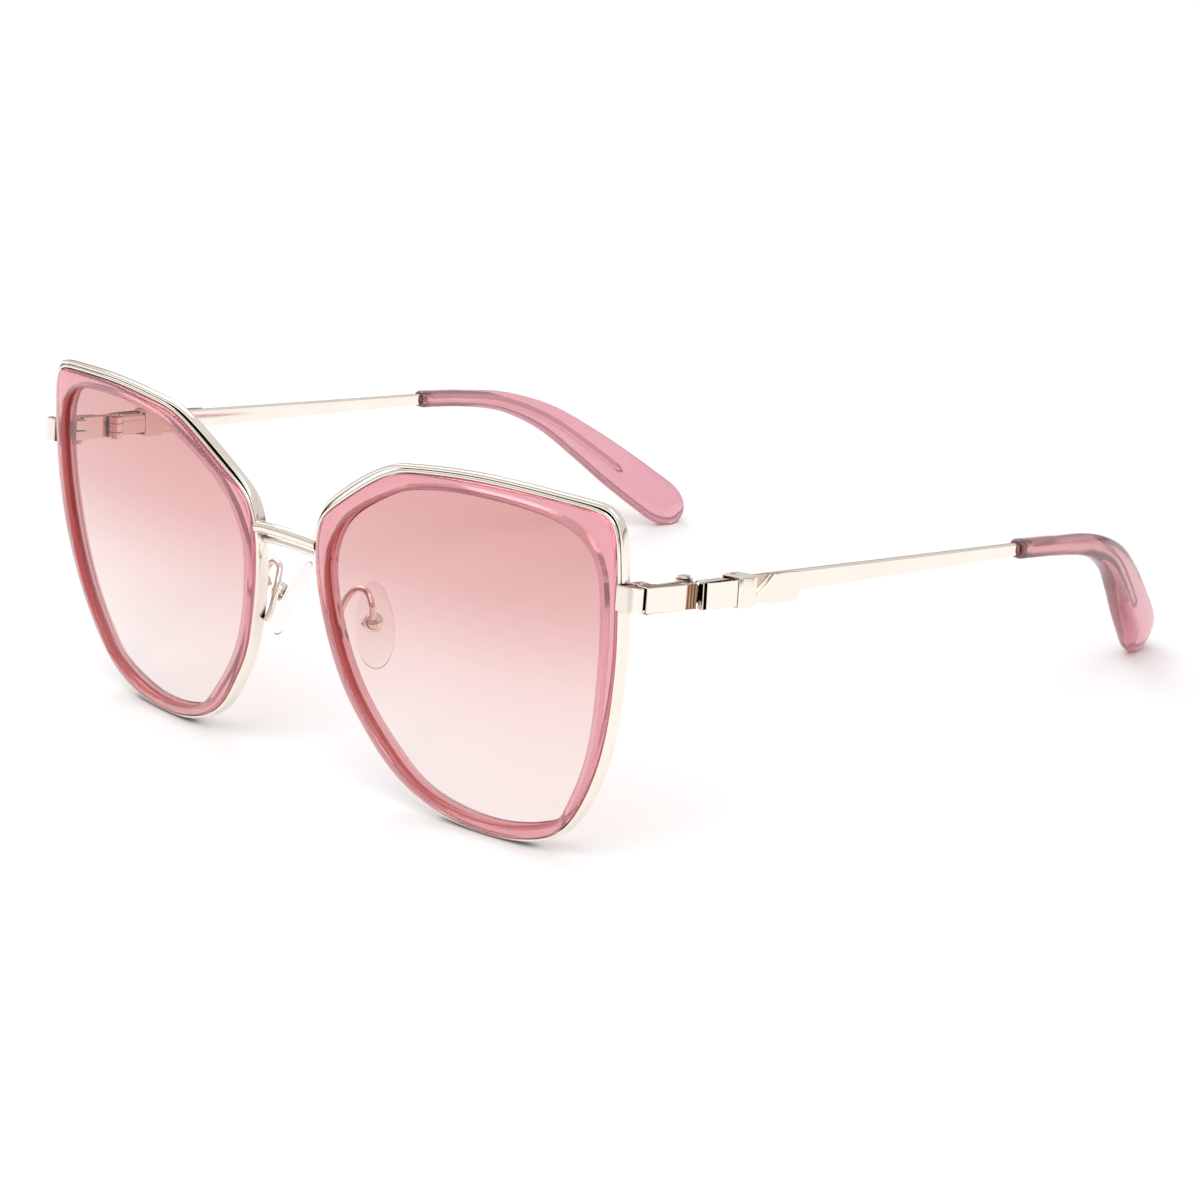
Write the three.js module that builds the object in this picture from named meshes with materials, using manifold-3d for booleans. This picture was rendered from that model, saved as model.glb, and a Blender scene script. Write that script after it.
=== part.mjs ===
// Cat eye sunglasses: metal eyewires with acetate liners, tinted lenses, double bridge,
// adjustable nose pads, folding temples with a bow ornament and acetate tips.
// Millimetres. X points to the wearer's left, Y from the front to the ears, Z up.
import * as THREE from 'three';
import { mergeVertices } from 'three/addons/utils/BufferGeometryUtils.js';
import Module from 'manifold-3d';

const wasm = await Module();
wasm.setup();

// ---- driving dimensions ----------------------------------------------------------------
const EYE_CENTRE_X = 38;          // middle of each lens, out from the middle of the nose
const WRAP = 0.08;                // turn of each eye about the vertical, radians
const FACE_RADIUS = 170;          // curvature of the front
const FIT_GAP = 0.1;              // clearance between fitted pieces

const LINER_DEPTH = 2.8;          // acetate liner, front to back
const LINER_BEVEL = 0.35;
const EYEWIRE_FRONT = 0.35;       // eyewire front edge, behind the liner's face
const EYEWIRE_DEPTH = 2;
const EYEWIRE_THICK = 0.5;
const BROW_FRONT = 0.5;           // brow wire front edge, behind the liner's face
const BROW_THICK = 0.45;
const BROW_DEPTH = 1;
const BROW_START = 5;             // outline columns where the brow wire begins and ends
const BROW_END = 27;
const BROW_SPLAY = 0.6;           // how far it stands off the eyewire on the nose slope
const LENS_FRONT = 0.85;          // lens edge, behind the liner's face
const LENS_THICK = 1.2;
const LENS_INTO_GROOVE = 0.5;
const GROOVE_DEEP = 0.7;

const BRIDGE_FRONT = { y: 1.7, z: 10.1, radius: 0.85, half: 7.0, arch: 0.5 };
const BRIDGE_BACK = { y: 2.4, z: 8.1, radius: 0.52, half: 6.85, arch: 0.45 };

const SIDE_OUT = 71.4;            // outer face of the endpieces
const ARM_THICK = 1.6;
const ARM_HEIGHT = 3.5;
const ARM_SLOPE = -0.18;          // endpiece, radians below level
const BLOCK_IN = 68.3;            // where the front block meets the eyewire
const BLOCK_FRONT_Y = 5.6;
const BLOCK_BACK_Y = 7.35;
const BLOCK_CORNER = 1.5;
const NOTCH = 0.5;                // slot between the front block and the arm
const LOCK_HEIGHT = 13.3;         // height of the endpiece and of the eyewire's split
const HINGE = new THREE.Vector3(68.2, 17.2, 11.6);
const TEMPLE_SLOPE = -0.143;
const BARREL_RADIUS = 1.2;
const BORE_RADIUS = 0.55;
const PIN_RADIUS = 0.45;

const BAR_IN = 1.2;               // temple bar, inner and outer face out from the hinge axis
const BAR_OUT = 2.4;
const BAR_SEAT = 2.3;             // lower face under the bow and inside the tip
const SEAT_END = 19.2;
const TANG_START = 63.3;
const BAR_END = 64.5;
const TIP_START = 63.6;
const KEEPER_START = 6.2;         // bow ornament, back from the hinge axis
const KEEPER_LENGTH = 3.3;

const REST_TILT = 0.0103;         // leans the frame so that rims and tips stand on one plane
const REST_BACK = -63.223;
const REST_HEIGHT = 26.3;

// Control points of the liner's outer and inner outline: first towards the temple, second up.
const OUTER_CONTROL = [
  [29, 1], [30, 8.25], [30, 19.5], [29.25, 24], [24.5, 24.75], [6.75, 26],
  [-6, 25], [-12.5, 24.25], [-25.25, 16.75], [-30, 13.75], [-30.75, 4.25], [-26.75, -9.25],
  [-22.5, -14.5], [-15.5, -23], [-1.25, -26.5], [14, -25], [20.25, -20], [26.5, -9.5],
];
const INNER_CONTROL = [
  [26.75, 3], [27.25, 8], [27.5, 16], [25.5, 20.25], [19.25, 23.25], [2.5, 24],
  [-6, 22.75], [-10, 22], [-22.5, 16.25], [-26.5, 11], [-28.5, 5.75], [-25, -9.5],
  [-15.5, -18.5], [-11.25, -22.75], [4, -25], [17, -21.25], [18.25, -19.25], [24.25, -10.25],
];
const STEPS_PER_CONTROL = 3;
const COLUMNS = OUTER_CONTROL.length * STEPS_PER_CONTROL;

// ---- materials -------------------------------------------------------------------------
const finish = (color, roughness, metalness) => () =>
  new THREE.MeshStandardMaterial({ color, roughness, metalness });
const gold = finish(0xead9c2, 0.15, 1);
const acetate = finish(0xd88a98, 0.2, 0);
const tint = finish(0xe3b9b8, 0.05, 0);
const silicone = finish(0xf1ece8, 0.3, 0);

// ---- geometry helpers ------------------------------------------------------------------
// Leaves only position, joins shared vertices and turns the faces outwards.
function closed(geometry) {
  const bare = new THREE.BufferGeometry();
  const plain = geometry.index ? geometry.toNonIndexed() : geometry;
  bare.setAttribute('position', plain.getAttribute('position').clone());
  const merged = mergeVertices(bare, 1e-5);
  const index = [...merged.index.array];
  const at = (i) => new THREE.Vector3().fromBufferAttribute(merged.attributes.position, i);
  const kept = [];
  let volume = 0;
  for (let i = 0; i < index.length; i += 3) {
    const [a, b, c] = index.slice(i, i + 3);
    if (a === b || b === c || c === a) continue;
    kept.push(a, b, c);
    volume += at(a).dot(at(b).cross(at(c)));
  }
  if (volume < 0) kept.reverse();
  merged.setIndex(kept);
  return merged;
}

function solidOf(geometry) {
  const g = closed(geometry);
  const mesh = new wasm.Mesh({
    numProp: 3,
    vertProperties: new Float32Array(g.attributes.position.array),
    triVerts: new Uint32Array(g.index.array),
  });
  return new wasm.Manifold(mesh);
}

function geometryOf(solid) {
  const mesh = solid.getMesh();
  const geometry = new THREE.BufferGeometry();
  geometry.setAttribute('position', new THREE.BufferAttribute(mesh.vertProperties, 3));
  geometry.setIndex(new THREE.BufferAttribute(mesh.triVerts, 1));
  return geometry;
}

const join = (...parts) => geometryOf(parts.map(solidOf).reduce((a, b) => a.add(b)));
const cut = (body, ...tools) =>
  geometryOf(tools.map(solidOf).reduce((a, b) => a.subtract(b), solidOf(body)));
const shared = (a, b) => geometryOf(solidOf(a).intersect(solidOf(b)));

function box(x0, x1, y0, y1, z0, z1) {
  return new THREE.BoxGeometry(x1 - x0, y1 - y0, z1 - z0)
    .translate((x0 + x1) / 2, (y0 + y1) / 2, (z0 + z1) / 2);
}

// A flat outline seen from above, standing from z0 to z1.
function standing(shape, z0, z1, curveSegments = 6) {
  return new THREE.ExtrudeGeometry(shape, { depth: z1 - z0, bevelEnabled: false, curveSegments })
    .translate(0, 0, z0);
}

// A flat outline seen from the wearer's side: shape x runs back, shape y runs up.
function sideways(shape, x0, x1, curveSegments = 6) {
  return new THREE.ExtrudeGeometry(shape, { depth: x1 - x0, bevelEnabled: false, curveSegments })
    .applyMatrix4(new THREE.Matrix4().makeBasis(
      new THREE.Vector3(0, 1, 0), new THREE.Vector3(0, 0, 1), new THREE.Vector3(1, 0, 0)))
    .translate(x0, 0, 0);
}

function post(radius, x, y, z0, z1, sides = 16) {
  return new THREE.CylinderGeometry(radius, radius, z1 - z0, sides)
    .rotateX(Math.PI / 2).translate(x, y, (z0 + z1) / 2);
}

function outlineFrom(points) {
  return new THREE.Shape(points.map(([x, y]) => new THREE.Vector2(x, y)));
}

// A round wire bent along a smooth path.
function wire(points, radius, sides = 8, steps = 14) {
  const circle = new THREE.Shape().absarc(0, 0, radius, 0, Math.PI * 2, false);
  const path = new THREE.CatmullRomCurve3(points.map((p) => new THREE.Vector3(...p)));
  return new THREE.ExtrudeGeometry(circle, { steps, curveSegments: sides / 2, extrudePath: path });
}

// A cylinder drawn out along a path, with its own half height and half thickness at each station.
// A closeness above 1 sets the stations closer towards the end.
function loft(path, halfHeight, halfThick, stations, sides, closeness = 1) {
  const skin = new THREE.CylinderGeometry(1, 1, 1, sides, stations);
  const position = skin.attributes.position;
  const point = new THREE.Vector3();
  for (let i = 0; i < position.count; i += 1) {
    point.fromBufferAttribute(position, i);
    const along = 1 - (0.5 - point.y) ** closeness;
    const centre = path.getPoint(along);
    const tangent = path.getTangent(along);
    const out = new THREE.Vector3(1, 0, 0).addScaledVector(tangent, -tangent.x).normalize();
    const up = new THREE.Vector3().crossVectors(out, tangent);
    centre.addScaledVector(out, point.x * halfThick(along));
    centre.addScaledVector(up, point.z * halfHeight(along));
    position.setXYZ(i, centre.x, centre.y, centre.z);
  }
  return skin;
}

// ---- the eye outline -------------------------------------------------------------------
// Uniform cubic B-spline round the closed control polygon.
function roundOutline(control) {
  const points = [];
  control.forEach((_, k) => {
    const near = [-1, 0, 1, 2].map((j) => control[(k + j + control.length) % control.length]);
    for (let step = 0; step < STEPS_PER_CONTROL; step += 1) {
      const t = step / STEPS_PER_CONTROL;
      const rising = -3 * t ** 3 + 3 * t ** 2 + 3 * t + 1;
      const weight = [(1 - t) ** 3, 3 * t ** 3 - 6 * t ** 2 + 4, rising, t ** 3];
      const sum = (axis) => near.reduce((total, p, j) => total + (p[axis] * weight[j]) / 6, 0);
      points.push(new THREE.Vector2(sum(0), sum(1)));
    }
  });
  return points;
}
const OUTER = roundOutline(OUTER_CONTROL);
const INNER = roundOutline(INNER_CONTROL);

function moveOut(outline, column, distance) {
  const before = outline[(column + COLUMNS - 1) % COLUMNS];
  const after = outline[(column + 1) % COLUMNS];
  const along = after.clone().sub(before).normalize();
  return outline[column].clone().add(new THREE.Vector2(along.y, -along.x).multiplyScalar(distance));
}

// A point of the eye: outline position plus depth behind the curved face.
function onFace(flat, depth) {
  const sag = flat.lengthSq() / (2 * FACE_RADIUS);
  return new THREE.Vector3(flat.x, depth + sag, flat.y);
}

// Turns a closed section into a ring, then moves each column of it onto the outline.
// Section points are [outline, distance outwards, depth].
function eyeRing(section) {
  const turned = [...section, section[0]].map((_, k) => {
    const angle = (k / section.length) * Math.PI * 2;
    return new THREE.Vector2(10 + Math.cos(angle), Math.sin(angle));
  });
  const ring = new THREE.LatheGeometry(turned, COLUMNS);
  const position = ring.attributes.position;
  for (let i = 0; i < position.count; i += 1) {
    const column = Math.floor(i / turned.length) % COLUMNS;
    const [outline, distance, depth] = section[(i % turned.length) % section.length];
    const p = onFace(moveOut(outline, column, distance), depth);
    position.setXYZ(i, p.x, p.y, p.z);
  }
  return ring;
}

// ---- eye pieces, in the eye's own frame --------------------------------------------------
function liner() {
  const groove = LENS_FRONT - FIT_GAP;
  const behind = LENS_FRONT + LENS_THICK + FIT_GAP;
  return eyeRing([
    [OUTER, -LINER_BEVEL, 0], [OUTER, 0, LINER_BEVEL], [OUTER, 0, LINER_DEPTH - LINER_BEVEL],
    [OUTER, -LINER_BEVEL, LINER_DEPTH], [INNER, 0, LINER_DEPTH], [INNER, 0, behind],
    [INNER, GROOVE_DEEP, behind], [INNER, GROOVE_DEEP, groove],
    [INNER, 0, groove], [INNER, 0, LINER_BEVEL], [INNER, LINER_BEVEL, 0],
  ]);
}

// The lens is a disc of rings, each one the inner outline drawn towards the middle.
function lens() {
  const fractions = [0, 0.45, 0.8, 1];
  const front = fractions.map((f) => [f, LENS_FRONT]);
  const back = fractions.map((f) => [f, LENS_FRONT + LENS_THICK]).reverse();
  const rows = [...front, ...back];
  const disc = new THREE.LatheGeometry(rows.map(([f, d]) => new THREE.Vector2(f, d)), COLUMNS);
  const position = disc.attributes.position;
  for (let i = 0; i < position.count; i += 1) {
    const [fraction, depth] = rows[i % rows.length];
    const edge = moveOut(INNER, Math.floor(i / rows.length) % COLUMNS, LENS_INTO_GROOVE);
    const p = onFace(edge.multiplyScalar(fraction), depth);
    position.setXYZ(i, p.x, p.y, p.z);
  }
  return disc;
}

// The eyewire's edges are rounded a little; a split at the endpiece lets the liner in.
function eyewire() {
  const edge = 0.15;
  const inside = FIT_GAP;
  const outside = FIT_GAP + EYEWIRE_THICK;
  const back = EYEWIRE_FRONT + EYEWIRE_DEPTH;
  const ring = eyeRing([
    [OUTER, inside, EYEWIRE_FRONT], [OUTER, outside - edge, EYEWIRE_FRONT],
    [OUTER, outside, EYEWIRE_FRONT + edge], [OUTER, outside, back - edge],
    [OUTER, outside - edge, back], [OUTER, inside, back],
  ]);
  const halfSplit = 0.15;
  return cut(ring, box(28, 32, 2, 9, LOCK_HEIGHT - halfSplit, LOCK_HEIGHT + halfSplit));
}

// The brow wire runs on the eyewire's outer face from the endpiece to the bridge, and stands
// off it on the slope towards the nose.
function browWire() {
  const lift = 2 * FIT_GAP + EYEWIRE_THICK;
  const splayStart = 19;
  const count = BROW_END - BROW_START;
  const strip = new THREE.BoxGeometry(count, 1, 1, count, 1, 1);
  const position = strip.attributes.position;
  for (let i = 0; i < position.count; i += 1) {
    const column = Math.round(position.getX(i) + (BROW_START + BROW_END) / 2);
    const onSlope = Math.max((column - splayStart) / (BROW_END - splayStart), 0);
    const splay = BROW_SPLAY * Math.sin(Math.PI * onSlope);
    const distance = lift + splay + (position.getY(i) + 0.5) * BROW_THICK;
    const depth = BROW_FRONT + (position.getZ(i) + 0.5) * BROW_DEPTH;
    const p = onFace(moveOut(OUTER, column, distance), depth);
    position.setXYZ(i, p.x, p.y, p.z);
  }
  return strip;
}

// ---- bridge ----------------------------------------------------------------------------
// Bowed forwards and upwards between its two soldered ends.
function bridgeBar({ radius, half, arch }) {
  const bow = (x, share) => [x, -arch * share, arch * share * 0.9];
  const points = [bow(-half, 0), bow(-half / 2, 0.75), bow(0, 1), bow(half / 2, 0.75), bow(half, 0)];
  return wire(points, radius, 12, 16);
}

// ---- endpiece, in a frame that slopes back from the front block ---------------------------
const ARM_IN = SIDE_OUT - ARM_THICK;
const HALF_ARM = ARM_HEIGHT / 2;

function frontBlock() {
  const corner = BLOCK_CORNER;
  const plan = new THREE.Shape();
  plan.moveTo(BLOCK_IN, BLOCK_FRONT_Y);
  plan.lineTo(SIDE_OUT - corner, BLOCK_FRONT_Y);
  plan.absarc(SIDE_OUT - corner, BLOCK_FRONT_Y + corner, corner, -Math.PI / 2, 0, false);
  plan.lineTo(SIDE_OUT, BLOCK_BACK_Y);
  plan.lineTo(BLOCK_IN + 0.6, BLOCK_BACK_Y);
  plan.lineTo(BLOCK_IN, BLOCK_FRONT_Y + 0.9);
  plan.closePath();
  return standing(plan, -HALF_ARM, HALF_ARM);
}

// The arm ends in upright half-round ribs, and its foot reaches forward under the notch.
function endpieceArm() {
  const ribs = 4;
  const ribPitch = 0.55;
  const ribRadius = ribPitch / 2 - 0.05;
  const ribFoot = SIDE_OUT - 0.45;
  const start = BLOCK_BACK_Y + NOTCH;
  const end = HINGE.y - ribs * ribPitch;
  const solderPad = 69.3;
  const padEnd = 11.1;
  const plan = new THREE.Shape();
  plan.moveTo(solderPad, start);
  plan.lineTo(SIDE_OUT, start);
  plan.lineTo(SIDE_OUT, end);
  plan.lineTo(ribFoot, end);
  for (let k = 0; k < ribs; k += 1) {
    const y = end + k * ribPitch;
    plan.lineTo(ribFoot, y + 0.05);
    plan.absarc(ribFoot, y + ribPitch / 2, ribRadius, -Math.PI / 2, Math.PI / 2, false);
  }
  plan.lineTo(ARM_IN + 0.3, end + ribs * ribPitch);
  plan.lineTo(ARM_IN, end);
  plan.lineTo(ARM_IN, padEnd);
  plan.lineTo(solderPad, padEnd);
  plan.closePath();
  const footFront = BLOCK_BACK_Y + FIT_GAP;
  const foot = box(ARM_IN, SIDE_OUT, footFront, start + 0.5, -HALF_ARM, -HALF_ARM + 0.6);
  return join(standing(plan, -HALF_ARM, HALF_ARM, 3), foot);
}

// The rim lock: an upper and a lower half drawn together by a screw from below.
const LOCK = { x0: 66.7, x1: 69.2, y0: 8.8, y1: 11, screwX: 67.9, screwY: 9.9 };
const LOCK_BORE = 0.5;
function lockHalf(z0, z1) {
  const { x0, x1, y0, y1, screwX, screwY } = LOCK;
  return cut(box(x0, x1, y0, y1, z0, z1), post(LOCK_BORE, screwX, screwY, z0 - 1, z1 + 1, 12));
}

function slottedHead(radius, z0, z1, x, y, slotFromTop) {
  const half = 0.12;
  const deep = 0.25;
  const [bottom, top] = slotFromTop ? [z1 - deep, z1 + 1] : [z0 - 1, z0 + deep];
  return cut(post(radius, x, y, z0, z1), box(x - 2, x + 2, y - half, y + half, bottom, top));
}

function lockScrew() {
  const { screwX, screwY } = LOCK;
  const shank = post(0.4, screwX, screwY, -1.8, 1.5, 12);
  return join(shank, slottedHead(0.85, -2.3, -1.75, screwX, screwY, false));
}

// ---- hinge, in the temple's frame: the axis is its Z axis --------------------------------
const KNUCKLE = 0.65;             // half height of the middle knuckle
const HINGE_TOP = 1.75;

function barrel(z0, z1) {
  const ring = new THREE.Shape().absarc(0, 0, BARREL_RADIUS, 0, Math.PI * 2, false);
  ring.holes.push(new THREE.Path().absarc(0, 0, BORE_RADIUS, 0, Math.PI * 2, true));
  return standing(ring, z0, z1, 8);
}

// Two knuckles on a leaf that is brazed inside the endpiece.
function frontHinge() {
  const edge = KNUCKLE + FIT_GAP;
  const leaf = box(0.85, 1.35, -5.6, 0, -HINGE_TOP, HINGE_TOP);
  const clear = box(0.5, 2, -1.35, 1, -edge, edge);
  const body = join(cut(leaf, clear), barrel(-HINGE_TOP, -edge), barrel(edge, HINGE_TOP));
  return cut(body, post(BORE_RADIUS, 0, 0, -4, 4));
}

// The middle knuckle on a leaf inside the temple bar.
function templeHinge() {
  const leaf = box(0.5, BAR_IN - FIT_GAP, 0, 6, -KNUCKLE, KNUCKLE);
  const plate = box(0.6, BAR_IN - FIT_GAP, 1.5, 6, -1.4, 1.4);
  return cut(join(barrel(-KNUCKLE, KNUCKLE), leaf, plate), post(BORE_RADIUS, 0, 0, -4, 4));
}

function hingeScrew() {
  return join(post(PIN_RADIUS, 0, 0, -HINGE_TOP - 0.2, HINGE_TOP + 0.2, 12),
    slottedHead(0.9, HINGE_TOP + FIT_GAP, HINGE_TOP + 0.4, 0, 0, true));
}

// ---- temple ------------------------------------------------------------------------------
const TIP_PATH = new THREE.CatmullRomCurve3([
  [1.8, TIP_START, -0.1], [1.5, 72.5, -0.5], [0.2, 81.5, -1.6], [-2.3, 89.3, -4.6],
  [-5.3, 95.8, -9.2], [-8.6, 102.2, -14.4], [-13.9, 112.4, -22.6],
].map((p) => new THREE.Vector3(...p)));
const CORE_PATH = new THREE.CatmullRomCurve3(
  Array.from({ length: 8 }, (_, k) => TIP_PATH.getPoint(k * 0.118)));

// A flat bar that tapers to the tip, full thickness only where it is bare, with a core wire.
function templeBar() {
  const side = outlineFrom([[0.5, -1.2], [0.9, -1.6], [16, -1.55], [40, -1.25], [BAR_END, -1.0],
    [BAR_END, 0.8], [40, 1.1], [16, 1.45], [0.9, 1.6], [0.5, 1.2]]);
  const bare = shared(sideways(side, BAR_IN, BAR_OUT), box(0, 5, SEAT_END, TANG_START, -3, 3));
  const core = loft(CORE_PATH, () => 0.7, () => 0.45, 12, 8);
  return join(sideways(side, BAR_IN, BAR_SEAT), bare, core);
}

// The sleeve starts round the bar, grows into a flat paddle and ends in a blunt round.
function tipSleeve() {
  const roundFrom = 0.93;
  const roundEnd = (along, size) => {
    const past = Math.max((along - roundFrom) / (1 - roundFrom), 0);
    return size * Math.sqrt(Math.max(1 - past ** 2, 0.02));
  };
  const mouth = (along) => (along < 0.01 ? 0.85 : 1);
  const grow = (along) => THREE.MathUtils.smoothstep(along, 0.15, 0.95);
  const height = (along) => roundEnd(along, mouth(along) * (1.45 + 2.5 * grow(along)));
  const thick = (along) => roundEnd(along, mouth(along) * (1.6 + 0.35 * along));
  const body = loft(TIP_PATH, height, thick, 22, 12, 1.7);
  const channel = loft(CORE_PATH, () => 0.85, () => 0.6, 12, 8);
  const slack = 0.15;
  const mouthCut = box(BAR_IN - slack, BAR_SEAT + slack, TIP_START - 2, BAR_END + 0.3, -1.2, 1.0);
  return cut(body, channel, mouthCut);
}

// ---- bow ornament ------------------------------------------------------------------------
// A ribbon folded into a loop, held by a plain keeper, with a cut tail behind it.
const RIBBON_IN = BAR_OUT + 0.15;
function ribbonLoop() {
  const end = KEEPER_START - FIT_GAP;
  const plan = new THREE.Shape();
  plan.moveTo(RIBBON_IN, 0.35);
  plan.lineTo(3.5, 0.35);
  plan.lineTo(3.5, 0.5);
  plan.lineTo(3.0, 0.6);
  plan.lineTo(3.0, 0.9);
  plan.lineTo(3.5, 1.0);
  plan.bezierCurveTo(4.1, 2.4, 4.2, 4.2, 3.5, end);
  plan.lineTo(RIBBON_IN, end);
  plan.closePath();
  const hollow = new THREE.Path();
  hollow.moveTo(2.9, 1.3);
  hollow.lineTo(2.9, end - 0.4);
  hollow.lineTo(3.25, end - 0.4);
  hollow.bezierCurveTo(3.8, 4.2, 3.75, 2.6, 3.3, 1.3);
  hollow.closePath();
  plan.holes.push(hollow);
  return standing(plan, -1.95, 1.65, 8);
}

function keeper() {
  const outer = outlineFrom([[0.75, -2.2], [4.1, -2.35], [4.35, -2.1], [4.35, 1.85], [4.1, 2.1],
    [0.75, 1.95]]);
  const window = [[1.1, -1.85], [1.1, 1.75], [3.9, 1.75], [3.9, -1.95]];
  outer.holes.push(new THREE.Path(window.map((p) => new THREE.Vector2(...p))));
  return standing(outer, 0, KEEPER_LENGTH).applyMatrix4(new THREE.Matrix4().makeBasis(
    new THREE.Vector3(1, 0, 0), new THREE.Vector3(0, 0, 1), new THREE.Vector3(0, -1, 0)))
    .translate(0, KEEPER_START + KEEPER_LENGTH, 0);
}

function ribbonTail() {
  const start = KEEPER_START + KEEPER_LENGTH + 2 * FIT_GAP;
  const end = 18.6;
  const plan = new THREE.Shape();
  plan.moveTo(RIBBON_IN, start);
  plan.lineTo(3.3, start);
  plan.bezierCurveTo(3.9, 10.6, 4.2, 12.2, 3.9, 13.8);
  plan.bezierCurveTo(3.6, 15.4, 3.2, 16.8, 3.1, end);
  plan.lineTo(RIBBON_IN, end);
  plan.closePath();
  const trim = outlineFrom([[start, -1.9], [13, -2.4], [17.4, -2.7], [18.2, -2.5], [end, -2],
    [end, 1.4], [start, 1.8]]);
  return shared(standing(plan, -3.2, 2, 8), sideways(trim, 2, 5));
}

// ---- nose pads ----------------------------------------------------------------------------
const PAD_CENTRE = new THREE.Vector3(10.1, 8.4, -3.2);
const PAD_UP = new THREE.Vector3(-0.366, 0.318, 0.875).normalize();
const PAD_FACE = new THREE.Vector3(-0.66, 0.57, -0.485).normalize();   // points at the nose
const PAD_LENGTH = 13;
const PAD_WIDTH = 5.8;
const PAD_HALF_THICK = 0.95;
const PAD_PIVOT = 1.85;           // screw axis, out from the middle of the pad

// The pad's own frame: X out of the nose side, Z along the pad.
function padTurn() {
  const out = PAD_FACE.clone().negate();
  const up = PAD_UP.clone().addScaledVector(out, -PAD_UP.dot(out)).normalize();
  return new THREE.Matrix4().makeBasis(out, new THREE.Vector3().crossVectors(up, out), up);
}

function nosePad() {
  const edge = 0.4;
  const depth = 2 * (PAD_HALF_THICK - edge);
  const oval = new THREE.Shape()
    .absellipse(0, 0, PAD_WIDTH / 2 - edge, PAD_LENGTH / 2 - edge, 0, Math.PI * 2, false);
  const slab = new THREE.ExtrudeGeometry(oval, {
    depth, bevelEnabled: true, bevelThickness: edge, bevelSize: edge, bevelSegments: 2, curveSegments: 12,
  });
  const stand = new THREE.Matrix4().makeBasis(
    new THREE.Vector3(0, 1, 0), new THREE.Vector3(0, 0, 1), new THREE.Vector3(1, 0, 0));
  const stem = box(0.4, 2.2, -0.55, 0.55, -0.8, 0.8);
  return cut(join(slab.applyMatrix4(stand).translate(-depth / 2, 0, 0), stem), padBore());
}

const acrossPad = (geometry) => geometry.rotateX(Math.PI / 2).translate(PAD_PIVOT, 0, 0);
const padBore = () => acrossPad(post(0.4, 0, 0, -3, 3, 12));

function padBox() {
  const hull = box(1.35, 3.4, -1.35, 1.35, -1.5, 1.5);
  const slot = box(1, 2.75, -0.7, 0.7, -2, 2);
  return cut(hull, slot, padBore());
}

function padScrew() {
  return acrossPad(join(post(0.3, 0, 0, -1.25, 1.6, 12), slottedHead(0.6, 1.45, 1.85, 0, 0, true)));
}

function padArm() {
  return wire([[8.58, 2.2, -4.9], [8.2, 3.2, -3.2], [8.0, 4.4, 0.2], [9.1, 5.9, 2.5], [11.4, 6.4, 2.7],
    [13.0, 6.1, 0.9], [12.65, 6.15, -1.15]], 0.5, 8, 22);
}

// ---- assembly ------------------------------------------------------------------------------
const worn = new THREE.Group();

function place(parent, name, geometry, material, sign) {
  const shape = closed(sign < 0 ? geometry.clone().scale(-1, 1, 1) : geometry);
  shape.computeVertexNormals();
  const mesh = new THREE.Mesh(shape, material());
  mesh.name = name;
  parent.add(mesh);
}

function framed(sign, position, turnX, turnZ) {
  const group = new THREE.Group();
  group.position.set(position.x * sign, position.y, position.z);
  group.rotation.set(turnX, 0, turnZ * sign);
  worn.add(group);
  return group;
}

function buildEye(sign, side) {
  const eye = framed(sign, new THREE.Vector3(EYE_CENTRE_X, 0, 0), 0, WRAP);
  place(eye, `acetate_liner_${side}`, liner(), acetate, sign);
  place(eye, `lens_${side}`, lens(), tint, sign);
  place(eye, `eyewire_${side}`, eyewire(), gold, sign);
  place(eye, `brow_wire_${side}`, browWire(), gold, sign);
}

function buildEndpiece(sign, side) {
  const foot = new THREE.Vector3(0, BLOCK_BACK_Y * (1 - Math.cos(ARM_SLOPE)),
    LOCK_HEIGHT - BLOCK_BACK_Y * Math.sin(ARM_SLOPE));
  const sloped = framed(sign, foot, ARM_SLOPE, 0);
  place(sloped, `endpiece_block_${side}`, frontBlock(), gold, sign);
  place(sloped, `endpiece_arm_${side}`, endpieceArm(), gold, sign);
  place(sloped, `rim_lock_upper_${side}`, lockHalf(0.1, 1.6), gold, sign);
  place(sloped, `rim_lock_lower_${side}`, lockHalf(-1.6, -0.1), gold, sign);
  place(sloped, `rim_lock_screw_${side}`, lockScrew(), gold, sign);
}

function buildTemple(sign, side) {
  const temple = framed(sign, HINGE, TEMPLE_SLOPE, 0);
  place(temple, `hinge_front_${side}`, frontHinge(), gold, sign);
  place(temple, `hinge_temple_${side}`, templeHinge(), gold, sign);
  place(temple, `hinge_screw_${side}`, hingeScrew(), gold, sign);
  place(temple, `temple_bar_${side}`, templeBar(), gold, sign);
  place(temple, `ribbon_loop_${side}`, ribbonLoop(), gold, sign);
  place(temple, `ribbon_keeper_${side}`, keeper(), gold, sign);
  place(temple, `ribbon_tail_${side}`, ribbonTail(), gold, sign);
  place(temple, `temple_tip_${side}`, tipSleeve(), acetate, sign);
}

function buildPad(sign, side) {
  const direct = framed(sign, new THREE.Vector3(), 0, 0);
  place(direct, `pad_arm_${side}`, padArm(), gold, sign);
  const turn = padTurn().setPosition(PAD_CENTRE);
  const onPad = (geometry) => geometry.applyMatrix4(turn);
  place(direct, `pad_box_${side}`, onPad(padBox()), gold, sign);
  place(direct, `pad_screw_${side}`, onPad(padScrew()), gold, sign);
  place(direct, `nose_pad_${side}`, onPad(nosePad()), silicone, sign);
}

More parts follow.
